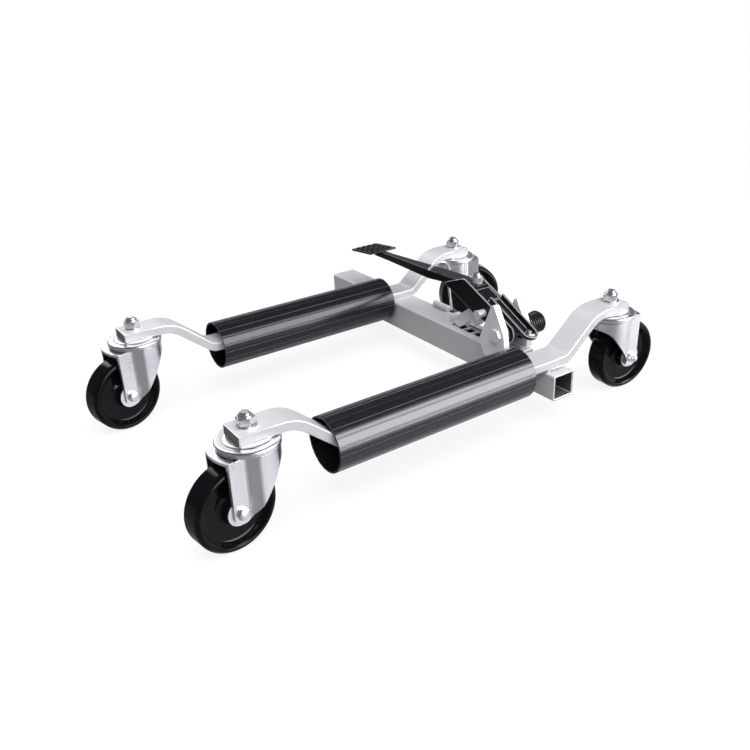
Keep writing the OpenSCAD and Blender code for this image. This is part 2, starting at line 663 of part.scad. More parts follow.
// Pedal: two webs with a shelf and a sloping plate between them, drawn from the pivot
arm_top_z = 50.3;
arm_under_z = 36.5;
pedal_bolt_x = -82;
pedal_bolt_d = 10;
pad_x = -319;
pad_drop_z = 8.2;
module pedal_bracket() {
    boss_r = 17;
    web = concat(
        [[-136.5, 37.3], [-117.8, 29.8], [-67.7, 8.3]],
        arc([-46, 16.5], 13, 215, 270, 4),
        arc([0, 0], boss_r, 205, 400, 16),
        [[-32.5, 31.1], [-89.6, 56.5], [-95, 56.2], [-136.5, 40]]);
    plate = [[-69, 44], [-45, 33.3], [-45, 30], [-69, 40.7]];
    shelf_x = -118;
    color(black) placed() at_pivot() difference() {
        union() {
            for (y = [-web_out_y, web_in_y]) side_plate(web, y, y + sheet_t);
            side_plate(plate, -web_in_y, web_in_y);
            translate([shelf_x, -web_in_y, arm_under_z - sheet_t])
                cube([46, 2 * web_in_y, sheet_t]);
        }
        y_rod(pivot_d / 2 + running_gap, -web_out_y - 1, web_out_y + 1);
        translate([pin_x - pivot_x, 0, pin_z - pivot_z])
            y_rod(pin_d / 2 + running_gap, -web_out_y - 1, web_out_y + 1);
        translate([pedal_bolt_x, 0, arm_under_z - sheet_t - 1])
            cylinder(d = pedal_bolt_d + 2 * running_gap, h = sheet_t + 2);
    }
}

// Tapered pressed arm, cut where its side view and its plan meet
module pedal_arm() {
    pad_drop = tan(pad_tilt);
    tip_x = pad_x - 23;
    side = [[tip_x, arm_top_z - pad_drop_z - 23 * pad_drop], [pad_x, arm_top_z - pad_drop_z],
        [-100, arm_top_z], [-70, arm_top_z], [-70, arm_under_z], [-140, arm_under_z], [-183, 32.3],
        [tip_x, 32]];
    plan = [[tip_x, arm_tip_w / 2], [pad_x + 19, arm_tip_w / 2 + 0.5], [-160, web_in_y], [-70, web_in_y]];
    color(black) placed() at_pivot() difference() {
        intersection() {
            side_plate(side, -web_out_y, web_out_y);
            linear_extrude(arm_top_z + 1) polygon(concat(plan, mirrored(plan)));
        }
        translate([pedal_bolt_x, 0, 0]) cylinder(d = pedal_bolt_d + 2 * running_gap, h = 60);
    }
}

module pedal_pad() {
    hole_d = 6;
    rows = 4;
    step = (pad_w - 8) / rows;
    color(black) placed() at_pivot() translate([pad_x, -1.5, arm_top_z - pad_drop_z])
        rotate([0, -pad_tilt, 0]) difference() {
            union() {
                translate([-pad_len, -pad_w / 2, 0]) cube([pad_len, pad_w, pad_t]);
                for (i = [0:rows - 1]) for (j = [0:rows - 1])
                    translate([-8 - i * 14, -pad_w / 2 + 4 + step / 2 + j * step, pad_t])
                        cylinder(d1 = hole_d + 4, d2 = hole_d + 2, h = 1.5);
            }
            for (i = [0:rows - 1]) for (j = [0:rows - 1])
                translate([-8 - i * 14, -pad_w / 2 + 4 + step / 2 + j * step, pad_t - 1])
                    cylinder(d = hole_d, h = 4);
        }
}

module pedal_bolt() {
    head_h = 5.5;
    color(zinc) placed() at_pivot() translate([pedal_bolt_x, 0, arm_under_z - sheet_t]) {
        translate([0, 0, -head_h]) hex(16, head_h);
        cylinder(d = pedal_bolt_d, h = arm_top_z - arm_under_z + sheet_t + 15);
    }
}
module pedal_nut() {
    color(zinc) placed() at_pivot() translate([pedal_bolt_x, 0, arm_top_z]) {
        ring(20, pedal_bolt_d + 2 * running_gap, 2);
        translate([0, 0, 2]) lock_nut(17, 8, 2.5, pedal_bolt_d + 2 * running_gap);
    }
}

// Drive pawl: a hooked plate on its pin, its nose just above the rack
module drive_pawl() {
    nose_z = inner_top_z + pawl_gap - pivot_z;
    body = concat(
        rounded([[-113.2, nose_z, 0.5], [-123, nose_z + 8.5, 1], [-120, nose_z + 16, 3],
            [-90, 8, 6], [-72, 17, 8], [-50, 25.5, 0]], 4),
        arc([-46, 16.5], 10, 110, -100, 12),
        rounded([[-54, -9, 3], [-91, -13, 6], [-97, -20, 4], [-113.2, nose_z, 0]], 4));
    color(zinc) placed() at_pivot() difference() {
        side_plate(body, -pawl_t / 2, pawl_t / 2);
        translate([pin_x - pivot_x, 0, pin_z - pivot_z])
            y_rod(pin_d / 2 + running_gap, -pawl_t, pawl_t);
    }
}
module drive_pawl_pin() {
    near = web_out_y + seat_gap;
    color(zinc) placed() translate([pin_x, 0, pin_z]) {
        y_rod(pin_d / 2, -near - 14, near + 2);
        y_rod(6, -near - 12, -near);
        y_rod(7, -near - 14, -near - 12);
        y_rod(7, near, near + 2);
    }
}

// Release lever: a channel with a looped end, on the pivot bolt, with the holding tooth below
lever_tilt = 26.4;
lever_top = 21.8;
lever_floor = 11.8;
lever_start = -52;
lever_end = 25;
module release_lever() {
    boss_r = 10.5;
    floor_end = lever_end - 15;
    floor_plan = concat([[lever_start, -lever_in_y]], arc([floor_end, 0], lever_in_y, -90, 90, 12),
        [[lever_start, lever_in_y]]);
    tooth_z = inner_top_z + pawl_gap - pivot_z;
    web = [[lever_start, lever_top], [lever_end, lever_top], [lever_end, lever_top - 6],
        [6, lever_floor - sheet_t], [lever_start, lever_floor - sheet_t]];
    tooth = [[-18, tooth_z], [-13, tooth_z], [5, -7], [0, 8], [-20, 16], [-14, -2]];
    color(black) placed() at_pivot() difference() {
        union() {
            rotate([0, lever_tilt, 0]) {
                for (y = [-lever_out_y, lever_in_y]) side_plate(web, y, y + sheet_t);
                translate([0, 0, lever_floor - sheet_t]) linear_extrude(sheet_t) polygon(floor_plan);
                translate([lever_end, 0, lever_top - 6]) rotate(-90)
                    rotate_extrude(angle = 180) translate([lever_in_y, 0]) square([sheet_t, 6]);
            }
            y_rod(boss_r, -lever_out_y, lever_out_y);
            side_plate(tooth, -8, 8);
        }
        y_rod(pivot_d / 2 + running_gap, -lever_out_y - 1, lever_out_y + 1);
    }
}

// Hold-down hook: one bent wire, hinged in its barrel and arched over the pedal arm
hook_exit = [barrel_x + barrel_len, barrel_y, barrel_z];
hook_marks = [[0, 0, 0], [5, 0, 0.5], [7.5, -0.4, 6], [2, -1, 43], [3, -1.5, 66], [5, -9, 80],
    [5, -19.5, 84], [0, -29.5, 80], [-6, -35.5, 72]];
module hold_down_hook() {
    path = [for (p = spline(hook_marks, 4)) hook_exit + p];
    color(zinc) placed() {
        translate(hook_exit - [barrel_len, 0, 0]) rotate([0, 90, 0])
            cylinder(d = hook_wire, h = barrel_len + 2);
        wire(path, hook_wire / 2 - 0.05, 8, [0, 0, 1]);
    }
}

outer_tube();
far_arm_bar();
near_gusset_plate();
far_gusset_plate();
pivot_bolt();
pivot_nut();
pivot_spacers();
pawl_stop();
hook_barrel();
return_spring();
inner_tube();
arm_packer();
near_arm_bar();
far_roller_hubs();
near_roller_hubs();
far_roller();
near_roller();
far_swivel_races();
near_swivel_races();
far_swivel_balls();
near_swivel_balls();
far_swivel_studs();
near_swivel_studs();
far_stud_washers();
near_stud_washers();
far_stud_nuts();
near_stud_nuts();
pedal_bracket();
pedal_arm();
pedal_pad();
pedal_bolt();
pedal_nut();
drive_pawl();
drive_pawl_pin();
release_lever();
hold_down_hook();
near_front_fork();
near_front_wheel();
near_front_bushes();
near_front_axle();
near_front_axle_nut();
far_front_fork();
far_front_wheel();
far_front_bushes();
far_front_axle();
far_front_axle_nut();
near_rear_fork();
near_rear_wheel();
near_rear_bushes();
near_rear_axle();
near_rear_axle_nut();
far_rear_fork();
far_rear_wheel();
far_rear_bushes();
far_rear_axle();
far_rear_axle_nut();
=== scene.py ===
"""Looks of a vehicle positioning jack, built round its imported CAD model."""

import json
from math import cos, pi, radians, sin, tau

import bpy
import numpy as np
from bpy.props import FloatProperty, FloatVectorProperty, IntProperty, PointerProperty
from mathutils import Matrix, Vector


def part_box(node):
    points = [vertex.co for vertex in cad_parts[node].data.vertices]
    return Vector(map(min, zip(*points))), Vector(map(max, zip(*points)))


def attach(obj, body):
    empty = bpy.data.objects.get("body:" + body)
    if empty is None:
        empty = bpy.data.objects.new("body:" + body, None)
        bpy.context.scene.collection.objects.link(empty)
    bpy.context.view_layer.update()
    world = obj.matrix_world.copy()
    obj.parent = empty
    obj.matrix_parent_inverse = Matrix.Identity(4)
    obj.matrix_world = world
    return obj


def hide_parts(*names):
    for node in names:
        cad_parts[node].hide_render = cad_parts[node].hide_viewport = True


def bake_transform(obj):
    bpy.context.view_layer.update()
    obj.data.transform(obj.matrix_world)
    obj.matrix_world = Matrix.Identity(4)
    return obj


bl_info = {
    "name": "Vehicle positioning jack",
    "version": (1, 0, 0),
    "blender": (4, 5, 0),
    "location": "View3D > Sidebar > Jack",
    "description": "Finishes, welds, threads, spring and hook of a wheel dolly with a foot pedal",
    "category": "Object",
}

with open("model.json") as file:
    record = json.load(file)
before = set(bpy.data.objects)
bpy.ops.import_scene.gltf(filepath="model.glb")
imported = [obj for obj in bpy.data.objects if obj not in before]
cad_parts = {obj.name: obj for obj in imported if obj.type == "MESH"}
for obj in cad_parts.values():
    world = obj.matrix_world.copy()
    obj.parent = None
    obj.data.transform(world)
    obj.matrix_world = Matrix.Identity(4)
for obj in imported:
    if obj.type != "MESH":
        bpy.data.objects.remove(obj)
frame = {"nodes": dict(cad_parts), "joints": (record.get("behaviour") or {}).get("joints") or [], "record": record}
NODES = frame["nodes"]
SLOT_OF = {part["node"]: part["material_slot"] for part in frame["record"]["subparts"]}

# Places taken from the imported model, in metres
JOINTS = {joint["name"]: Vector(joint["pos_m"]) for joint in frame["joints"] if "pos_m" in joint}
PIVOT = JOINTS["pedal_press"]
HOOK_EXIT = Vector((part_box("hook_barrel")[1].x, *JOINTS["hook_swing"].yz))
SWIVELS = {
    side: [JOINTS[f"{side}_{end}_swivel"] for end in ("front", "rear")] for side in ("far", "near")
}
TUBE_LOW, TUBE_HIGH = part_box("outer_tube")


def mm(x, y, z):
    """A step in millimetres, as metres."""
    return Vector((x, y, z)) / 1000


# Shader maths


class Socket:
    """A socket of a shader tree. Arithmetic on it adds Math nodes."""

    def __init__(self, shader, socket):
        self.shader = shader
        self.socket = socket

    def _math(self, operation, first, second):
        return self.shader.add("ShaderNodeMath", {"operation": operation}, {0: first, 1: second})

    def __add__(self, other):
        return self._math("ADD", self, other)

    def __radd__(self, other):
        return self._math("ADD", other, self)

    def __sub__(self, other):
        return self._math("SUBTRACT", self, other)

    def __rsub__(self, other):
        return self._math("SUBTRACT", other, self)

    def __mul__(self, other):
        return self._math("MULTIPLY", self, other)

    def __rmul__(self, other):
        return self._math("MULTIPLY", other, self)

    def __gt__(self, other):
        return self._math("GREATER_THAN", self, other)


class Shader:
    """A node tree of a material or world, filled through one method."""

    def __init__(self, owner):
        owner.use_nodes = True
        self.tree = owner.node_tree
        self.tree.nodes.clear()

    def add(self, kind, settings=None, sockets=None, out=0):
        """Adds a node: its settings first, then the values or links of its sockets."""
        node = self.tree.nodes.new(kind)
        for name, value in (settings or {}).items():
            setattr(node, name, value)
        for key, value in (sockets or {}).items():
            if isinstance(value, Socket):
                self.tree.links.new(value.socket, node.inputs[key])
            else:
                node.inputs[key].default_value = value
        return Socket(self, node.outputs[out]) if node.outputs else None

    def place(self, scale=(1.0, 1.0, 1.0)):
        """Coordinates on the part, in metres, stretched by scale."""
        point = self.add("ShaderNodeTexCoord", out="Object")
        return self.add("ShaderNodeVectorMath", {"operation": "MULTIPLY"}, {0: point, 1: scale})

    def noise(self, waves, detail=2.0, stretch=(1.0, 1.0, 1.0), roughness=0.5):
        """Noise from 0 to 1 with about this many waves a metre."""
        values = {"Vector": self.place(stretch), "Scale": waves, "Detail": detail}
        return self.add("ShaderNodeTexNoise", {}, {**values, "Roughness": roughness})

    def colour(self, factor, low, high):
        """A colour between two plain colours."""
        return self.blend(factor, (*low, 1.0), (*high, 1.0))

    def blend(self, factor, low, high):
        """A colour between two that may change over the surface."""
        values = {0: factor, 6: low, 7: high}
        return self.add("ShaderNodeMix", {"data_type": "RGBA"}, values, out=2)

    def bump(self, height, depth, strength=0.5):
        """A normal from height, with depth metres between its lows and highs."""
        values = {"Strength": strength, "Distance": depth, "Height": height}
        return self.add("ShaderNodeBump", {}, values)

    def finish(self, values):
        """Ends a material in a Principled shader with these socket values or links."""
        surface = self.add("ShaderNodeBsdfPrincipled", {}, values)
        self.add("ShaderNodeOutputMaterial", {}, {"Surface": surface})


def shade(colour, amount):
    """A colour times a number, in plain Python."""
    return tuple(min(1.0, part * amount) for part in colour)


def new_shader(name):
    """A new material and the shader that fills it."""
    material = bpy.data.materials.new(name)
    return material, Shader(material)


# Finishes

# Every finish by its name, which the first step fills
MATERIALS = {}

# How deep under a tube's outside the dark bore begins, in metres: bare steel, darkened further as painted shade
TUBE_SKIN = 0.0018

# How far the coats' skins rise and fall, in metres
PEEL_DEPTH = 0.00006
SPANGLE_DEPTH = 0.00004
DRAWN_DEPTH = 0.00001
MOULDED_DEPTH = 0.00004
WELD_DEPTH = 0.0001


def silver_skin(s, base):
    """Colour, roughness and relief of the silver coat: metal flakes in an orange-peel skin."""
    cloud = s.noise(waves=14, detail=3)
    peel = s.noise(waves=520)
    flake = s.noise(waves=2600, detail=1)
    colour = s.colour(cloud * 0.6 + flake * 0.4, shade(base, 0.9), shade(base, 1.08))
    return colour, 0.4 + 0.1 * cloud + 0.05 * flake, peel + flake * 0.3


def silver_finish(s, colour, roughness, relief):
    """Ends a material of the silver coat."""
    s.finish(
        {
            "Base Color": colour,
            "Metallic": 0.25,
            "Roughness": roughness,
            "Normal": s.bump(relief, PEEL_DEPTH),
        }
    )


def satin_silver(finishes, name="satin_silver_coat", lift=1.0):
    """Silver-grey coat on steel, lift times as light as on the bars; a factor above 1 is painted light."""
    material, s = new_shader(name)
    silver_finish(s, *silver_skin(s, shade(finishes.silver, lift)))
    return material


def silver_tube(finishes, name, low, high):
    """The silver coat of a square tube with this box, with dark, bare steel in its bore, darkened well past bare
    steel as painted shade.
    """
    material, s = new_shader(name)
    base = tuple(finishes.silver)
    coat, roughness, relief = silver_skin(s, base)
    place = s.place()
    bore = None
    for k, axis in ((1, "Y"), (2, "Z")):
        middle = (low[k] + high[k]) / 2
        reach = (high[k] - low[k]) / 2 - TUBE_SKIN
        from_middle = s.add("ShaderNodeSeparateXYZ", {}, {0: place}, out=axis) - middle
        within = 1 - (from_middle * from_middle > reach * reach)
        bore = bore * within if bore else within
    # Painted shade: the bore's bare steel at a tenth to a fifth of the coat's colour, as dark as shade inside a
    # tube
    steel = s.colour(s.noise(waves=60, detail=4), shade(base, 0.1), shade(base, 0.22))
    silver_finish(s, s.blend(bore, coat, steel), roughness, relief)
    return material


def sawn_silver(finishes):
    """The silver coat of the bars, with the dark, scored steel of their saw-cut ends, darkened further as painted
    shade.
    """
    material, s = new_shader("silver_bar_with_sawn_ends")
    base = tuple(finishes.silver)
    coat, roughness, relief = silver_skin(s, base)
    score = s.noise(waves=90, detail=4, stretch=(14.0, 1.0, 1.6), roughness=0.7)
    facing = s.add("ShaderNodeTexCoord", out="Normal")
    along = s.add("ShaderNodeSeparateXYZ", {}, {0: facing}, out="Y")
    sawn = along * along > 0.8
    # Painted shade: both cut ends at a few hundredths to four tenths of the coat's colour, darker than bare steel
    steel = s.colour(score, shade(base, 0.03), shade(base, 0.42))
    silver_finish(s, s.blend(sawn, coat, steel), roughness, relief + score * sawn * 4)
    return material


def bright_zinc(finishes, name="bright_zinc", metal=1.0):
    """Zinc plating: a spangle of slightly different crystals, with a soft brushed haze."""
    material, s = new_shader(name)
    crystals = {"Vector": s.place(), "Scale": 420.0}
    spangle = s.add("ShaderNodeTexVoronoi", {}, crystals, out="Distance")
    haze = s.noise(waves=30, detail=4)
    grain = s.noise(waves=900)
    base = tuple(finishes.zinc)
    s.finish(
        {
            "Base Color": s.colour(haze * 0.7 + spangle * 0.3, shade(base, 0.9), shade(base, 1.06)),
            "Metallic": metal,
            "Roughness": 0.2 + 0.14 * haze + 0.06 * grain,
            "Normal": s.bump(grain + spangle * 0.5, SPANGLE_DEPTH, 0.35),
        }
    )
    return material


def black_coat(finishes, name="semi_gloss_black_coat", shine=0.24):
    """Semi-gloss black coat on pressed steel, slightly dusty, with a fine powder texture."""
    material, s = new_shader(name)
    dust = s.noise(waves=22, detail=4)
    powder = s.noise(waves=1400)
    base = tuple(finishes.black)
    s.finish(
        {
            "Base Color": s.colour(dust, shade(base, 0.7), shade(base, 1.5)),
            "Roughness": 0.24 + 0.14 * dust,
            "Specular IOR Level": shine,
            "Normal": s.bump(powder, PEEL_DEPTH),
        }
    )
    return material


def worn_edge(name, base, gloss):
    """A pale, half-metallic finish with a little wear in its colour: a painted highlight on the rounded edges of
    coated pieces, and the bright hook wire.
    """
    material, s = new_shader(name)
    wear = s.noise(waves=160, detail=3)
    s.finish(
        {
            "Base Color": s.colour(wear, shade(base, 0.6), shade(base, 1.25)),
            "Metallic": 0.3,
            "Roughness": gloss + 0.15 * wear,
        }
    )
    return material


def roller_coat(finishes, name="drawn_black_roller", shine=0.75):
    """Black roller tube, drawn lengthwise, with faint streaks in its colour and gloss."""
    material, s = new_shader(name)
    streak = s.noise(waves=12, stretch=(16.0, 0.25, 16.0))
    dust = s.noise(waves=40, detail=3)
    skin = s.noise(waves=900)
    base = tuple(finishes.roller)
    s.finish(
        {
            "Base Color": s.colour(streak * 0.5 + dust * 0.5, shade(base, 0.7), shade(base, 1.4)),
            "Roughness": 0.17 + 0.05 * streak + 0.04 * dust,
            "Specular IOR Level": shine,
            "Specular Tint": (0.94, 0.93, 1.0, 1.0),
            "Normal": s.bump(skin, DRAWN_DEPTH, 0.4),
        }
    )
    return material


def moulded_black(finishes, name, gloss, shine):
    """Moulded black plastic with a smooth skin and a trace of flow marks."""
    material, s = new_shader(name)
    flow = s.noise(waves=26, detail=4)
    skin = s.noise(waves=700)
    base = tuple(finishes.wheel)
    s.finish(
        {
            "Base Color": s.colour(flow, shade(base, 0.7), shade(base, 1.4)),
            "Roughness": gloss + 0.1 * flow,
            "Specular IOR Level": shine,
            "Normal": s.bump(skin, MOULDED_DEPTH, 0.4),
        }
    )
    return material


def weld_metal(finishes):
    """Weld bead under the silver coat, a little darker and rougher than the bar."""
    material, s = new_shader("coated_weld")
    cloud = s.noise(waves=180, detail=3)
    base = tuple(finishes.silver)
    s.finish(
        {
            "Base Color": s.colour(cloud, shade(base, 0.72), shade(base, 0.98)),
            "Metallic": 0.25,
            "Roughness": 0.42 + 0.16 * cloud,
            "Normal": s.bump(cloud, WELD_DEPTH),
        }
    )
    return material


# Meshes


def new_object(name, data):
    """A new object in the scene."""
    made = bpy.data.objects.new(name, data)
    bpy.context.scene.collection.objects.link(made)
    return made


def piece(name, points, faces, body, slot, finish=None):
    """A smooth mesh piece in the row frame, in its slot's finish or another.

    It rides on a body, if one is named.
    """
    mesh = bpy.data.meshes.new(name)
    mesh.from_pydata([tuple(p) for p in points], [], faces)
    mesh.validate()
    mesh.polygons.foreach_set("use_smooth", [True] * len(mesh.polygons))
    mesh.update()
    made = new_object(name, mesh)
    mesh.materials.append(MATERIALS[finish or slot])
    if body:
        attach(made, body)
    return made


def frames(path, seed):
    """Tangent and two square directions at each point of a path, carried along without a twist."""
    count = len(path)
    side = Vector(seed)
    found = []
    for i in range(count):
        tangent = (path[min(i + 1, count - 1)] - path[max(i - 1, 0)]).normalized()
        side = (side - side.dot(tangent) * tangent).normalized()
        found.append((tangent, side, tangent.cross(side)))
    return found


def tube(path, radii, sides, seed):
    """Points and faces of a round wire along a path, closed at both ends by flat caps."""
    points, faces = [], []
    for centre, radius, (_, side, up) in zip(path, radii, frames(path, seed)):
        for k in range(sides):
            turn = tau * k / sides
            points.append(centre + radius * (cos(turn) * side + sin(turn) * up))
    for i in range(len(path) - 1):
        for k in range(sides):
            a, b = i * sides + k, i * sides + (k + 1) % sides
            faces.append((a, b, b + sides, a + sides))
    faces.append(tuple(reversed(range(sides))))
    last = (len(path) - 1) * sides
    faces.append(tuple(range(last, last + sides)))
    return points, faces


def joined(parts):
    """Several (points, faces) as one."""
    points, faces = [], []
    for more_points, more_faces in parts:
        start = len(points)
        points += more_points
        faces += [tuple(start + i for i in face) for face in more_faces]
    return points, faces


def smooth_path(marks, steps):
    """A smooth curve through marks, steps points between neighbours."""
    last = len(marks) - 1
    path = []
    for i in range(last):
        a, b, c, d = marks[max(i - 1, 0)], marks[i], marks[i + 1], marks[min(i + 2, last)]
        for k in range(steps):
            t = k / steps
            path.append(
                0.5
                * (
                    2 * b
                    + (c - a) * t
                    + (2 * a - 5 * b + 4 * c - d) * t * t
                    + (3 * b - a - 3 * c + d) * t * t * t
                )
            )
    return path + [marks[-1]]


# A thread's ridge: how far its crest stands out of the rod and its foot lies in it, in metres,
# half its width as a share of the pitch, the steps of a turn, and how fast its ends rise
CREST, ROOT, HALF_WIDTH, TURN_STEPS, RUN_OUT = 0.00034, 0.0003, 0.42, 24, 6


def thread(foot, axis, radius, length, pitch):
    """A helical ridge round a rod, from foot along axis, its crest a little outside radius."""
    axis = Vector(axis).normalized()
    side = axis.orthogonal().normalized()
    up = axis.cross(side)
    steps = max(8, int(length / pitch * TURN_STEPS))
    points, faces = [], []
    for i in range(steps + 1):
        turn = tau * length / pitch * i / steps
        out = cos(turn) * side + sin(turn) * up
        base = foot + axis * (length * i / steps)
        fade = min(1.0, RUN_OUT * i / steps, RUN_OUT * (steps - i) / steps)
        points += [
            base + out * (radius - ROOT) - axis * pitch * HALF_WIDTH,
            base + out * (radius + CREST * fade),
            base + out * (radius - ROOT) + axis * pitch * HALF_WIDTH,
        ]
    for i in range(steps):
        a = 3 * i
        faces += [(a, a + 3, a + 4, a + 1), (a + 1, a + 4, a + 5, a + 2), (a, a + 2, a + 5, a + 3)]
    faces += [(0, 1, 2), (3 * steps, 3 * steps + 2, 3 * steps + 1)]
    return points, faces


# A weld bead: the length of a step and of a ripple along it, in metres, its least radius, the
# steps that its wandering is smoothed over, and the sides round it
BEAD_STEP, BEAD_RIPPLE, LEAST_BEAD, WANDER_STEPS, BEAD_SIDES = 0.0006, 0.0026, 0.0003, 9, 12


def weld_bead(start, end, radius, seed):
    """A rippled bead between two points, its ripples like overlapping coins."""
    rng = np.random.default_rng(seed)
    length = (end - start).length
    count = max(12, int(length / BEAD_STEP))
    wander = rng.normal(0, 1, count + 1)
    wander = np.convolve(wander, np.ones(WANDER_STEPS) / WANDER_STEPS, mode="same")
    path, radii = [], []
    for i in range(count + 1):
        along = i / count
        ripple = abs(sin(pi * along * length / BEAD_RIPPLE))
        fade = min(1.0, 8 * along, 8 * (1 - along)) ** 0.5
        uneven = 0.84 + 0.16 * ripple + 0.1 * float(wander[i])
        path.append(start.lerp(end, along))
        radii.append(max(LEAST_BEAD, radius * fade * uneven))
    return tube(path, radii, BEAD_SIDES, (0.3, 0.2, 1.0))


# What the steps work on

ENDS = ("near_front", "near_rear", "far_front", "far_rear")
BARS = ("far_arm_bar", "near_arm_bar")

# Nodes with a finish of their own in place of their slot's
OWN_FINISH = {
    "far_arm_bar": "bars",
    "near_arm_bar": "bars",
    "near_gusset_plate": "plates",
    "far_gusset_plate": "plates",
    "pawl_stop": "plates",
    "outer_tube": "outer_tube",
    "inner_tube": "inner_tube",
    "hook_barrel": "plates",
    "pivot_bolt": "dull_zinc",
    "drive_pawl": "dull_zinc",
    "drive_pawl_pin": "dull_zinc",
    "pedal_arm": "arm_black",
    "far_roller": "far_roller",
}

# How far the edges of the nodes are rounded, in millimetres, and the finish of the rounding: where it is paler
# than the node's own, a painted highlight
EDGE_ROUNDS = (
    ((*BARS, "arm_packer"), 1.0, "bright_silver"),
    (("outer_tube", "inner_tube"), 0.8, "bright_silver"),
    (("near_gusset_plate", "far_gusset_plate", "pawl_stop"), 0.6, "bright_silver"),
    (("pedal_bracket", "release_lever"), 0.8, "worn_black"),
    (("pedal_arm",), 3.0, "arm_black"),
    (("drive_pawl",), 0.6, "bright_silver"),
    (("near_roller", "far_roller"), 0.33, "worn_roller"),
    (tuple(f"{end}_fork" for end in ENDS), 0.5, "zinc"),
    (tuple(f"{end}_wheel" for end in ENDS), 0.5, "worn_wheel"),
)

# Edges sharper than this are rounded, and points nearer than this are one, in metres
EDGE_ANGLE = radians(40)
SAME_POINT = 1e-6

# Half the length of the weld beads across the tubes, and how far the beads of the gusset
# plates stop from their corners, in metres
ARM_WELD_REACH = {"far": 0.017, "near": 0.014}
WELD_INSET = 0.003

# The bare threads, in metres: radius, length, and how far they start under the stud's top
STUD_RADIUS, STUD_THREAD, STUD_TOP = 0.006, 0.0033, 0.0045
PEDAL_BOLT_RADIUS, PEDAL_BOLT_TIP = 0.005, 0.0008

# How clear the floor is to reflections, the soft edges of the two windows in them, and the
# side of the lamp and its distance, in metres
FLOOR_CLEARNESS = 0.6
WINDOW_EDGE, SLIT_EDGE = 0.04, 0.015
LAMP_SIDE, LAMP_DISTANCE = 5.8, 5.0

# Operators


class Step:
    """What all steps of the build share."""

    bl_options = {"REGISTER"}


class JACK_OT_finishes(Step, bpy.types.Operator):
    """Give every CAD node its own finish, or else that of its material slot"""

    bl_idname = "jack.finishes"
    bl_label = "Finishes"

    def execute(self, context):
        finishes = context.scene.jack_finishes
        MATERIALS.update(
            silver_steel=satin_silver(finishes),
            zinc=bright_zinc(finishes),
            black_steel=black_coat(finishes),
            roller_black=roller_coat(finishes),
            black_nylon=moulded_black(finishes, "matt_black_nylon", 0.45, 0.25),
            wheel_black=moulded_black(finishes, "glossy_black_wheel", 0.05, 0.2),
            # Paler finishes for the rounded edges: painted highlights, with a little wear in their colour
            bright_silver=worn_edge("worn_silver_edge", (0.85, 0.85, 0.88), 0.3),
            worn_black=worn_edge("worn_black_edge", (0.62, 0.62, 0.64), 0.25),
            worn_roller=worn_edge("worn_roller_edge", (0.025, 0.025, 0.03), 0.25),
            worn_wheel=worn_edge("worn_wheel_edge", (0.17, 0.17, 0.18), 0.15),
            bars=sawn_silver(finishes),
            outer_tube=silver_tube(finishes, "silver_outer_tube", *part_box("outer_tube")),
            inner_tube=silver_tube(finishes, "silver_inner_tube", *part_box("inner_tube")),
            # Painted light: the plates, stop and barrel get the same silver, 1.4 times as light as on the bars
            plates=satin_silver(finishes, "silver_coated_plate", 1.4),
            dull_zinc=bright_zinc(finishes, "dull_zinc", 0.55),
            arm_black=black_coat(finishes, "pedal_arm_black_coat", 0.16),
            spring_black=black_coat(finishes, "oiled_black_spring", 0.7),
            # Painted shade: the far roller's coat is a copy with weaker reflections, darker than the near roller's
            far_roller=roller_coat(finishes, "dusty_drawn_black_roller", 0.4),
            wire=worn_edge("bright_wire", (0.9, 0.9, 0.92), 0.3),
            weld=weld_metal(finishes),
        )
        for name, node in NODES.items():
            node.data.materials.clear()
            node.data.materials.append(MATERIALS[OWN_FINISH.get(name, SLOT_OF[name])])
        return {"FINISHED"}


class JACK_OT_edges(Step, bpy.types.Operator):
    """Round the sharp edges of the bars, tubes, pressings, rollers and wheels a little, most of them in a paler
    finish that paints a highlight on them
    """

    bl_idname = "jack.edges"
    bl_label = "Soft edges"

    def execute(self, context):
        share = context.scene.jack_details.edge_share
        for names, width, finish in EDGE_ROUNDS:
            for name in names:
                node = NODES[name]
                node.data.materials.append(MATERIALS[finish])
                weld = node.modifiers.new("one_skin", "WELD")
                weld.merge_threshold = SAME_POINT
                bevel = node.modifiers.new("soft_edges", "BEVEL")
                bevel.width = width * share / 1000
                bevel.segments = 2
                bevel.limit_method = "ANGLE"
                bevel.angle_limit = EDGE_ANGLE
                # The lever's short edges would clamp its rounding to nothing
                bevel.use_clamp_overlap = name != "release_lever"
                # The rounding's own finish, for most nodes a painted highlight
                bevel.material = 1
                normals = node.modifiers.new("even_normals", "WEIGHTED_NORMAL")
                normals.keep_sharp = True
        return {"FINISHED"}


class JACK_OT_spring(Step, bpy.types.Operator):
    """Wind the return spring round the pivot, with its leg under the release lever"""

    bl_idname = "jack.spring"
    bl_label = "Return spring"

    def execute(self, context):
        details = context.scene.jack_details
        # Millimetres from the pivot, and degrees
        coil_r, first_y, last_y, pitch, degrees, step = 13.4, 28.6, 50.125, 4.1, 1890, 8
        leg = [(34, 3, -1.5), (34, 8, -1.5), (33, 12, -2.4), (29, 16, -5), (24, 22, -8)]
        leg += [(20, 27, -9), (16, first_y, -8), (coil_r, first_y, -4), (coil_r, first_y, 0)]
        foot = [(0, last_y, coil_r), (-8, last_y, coil_r), (-14, last_y - 2, 10)]
        foot += [(-17.5, last_y - 6, 6), (-18, last_y - 10, 5), (-18, 22.3, 5)]
        coil = []
        for turn in range(step, degrees, step):
            angle = radians(turn)
            along = first_y + pitch * turn / 360
            coil.append(mm(coil_r * cos(angle), along, coil_r * sin(angle)))
        leg = smooth_path([mm(*mark) for mark in leg], 8)
        foot = smooth_path([mm(*mark) for mark in foot], 8)
        path = [PIVOT + point for point in leg + coil + foot]
        radii = [details.spring_wire / 2] * len(path)
        wire = tube(path, radii, details.wire_sides, (1, 0, 0))
        made = piece("return_spring_wire", *wire, None, "black_steel", "spring_black")
        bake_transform(made)
        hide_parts("return_spring")
        return {"FINISHED"}


